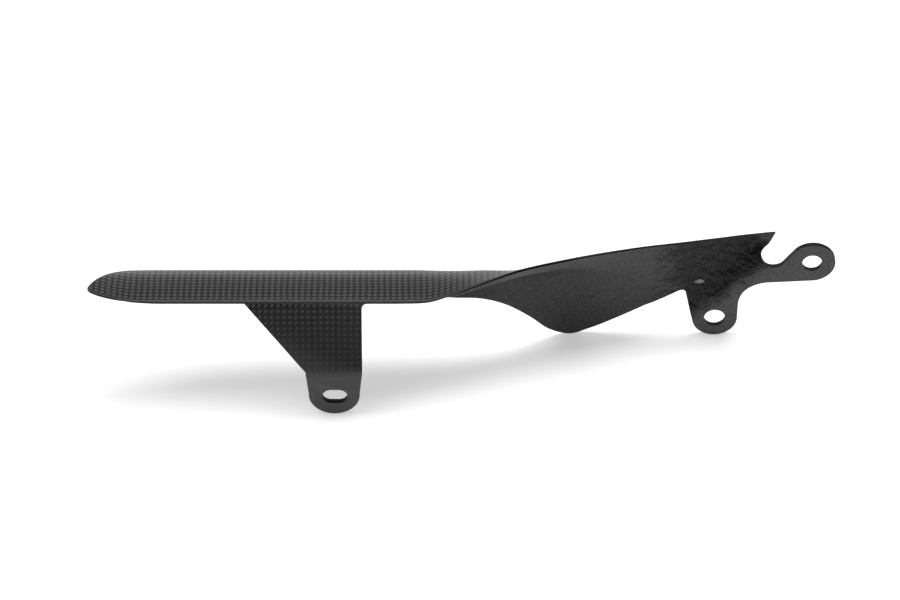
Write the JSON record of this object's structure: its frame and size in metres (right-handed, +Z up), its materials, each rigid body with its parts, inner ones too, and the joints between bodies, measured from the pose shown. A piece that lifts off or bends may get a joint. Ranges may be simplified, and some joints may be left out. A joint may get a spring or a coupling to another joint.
{
  "type": "chain guard",
  "caption": "Moulded woven-laminate chain guard: a long rounded blade sweeps into a tall outer wall, with a slotted rear tab, a lower lug and an eye at the front",
  "frame": {"origin": "middle of the front eye's bore, half way through the plate", "axes": "+X runs forward along the guard from the rear tip, +Y runs outward from the rear tab to the outer wall, +Z is up with the blade's flat top level"},
  "size_m": [0.3521, 0.0651, 0.0593],
  "materials": {
    "laminate": "clear gloss over a fine plain weave of near-black tows; matte and speckled on the inner face"
  },
  "bodies": {
    "root": {"chain_guard": "laminate"}
  },
  "joints": []
}
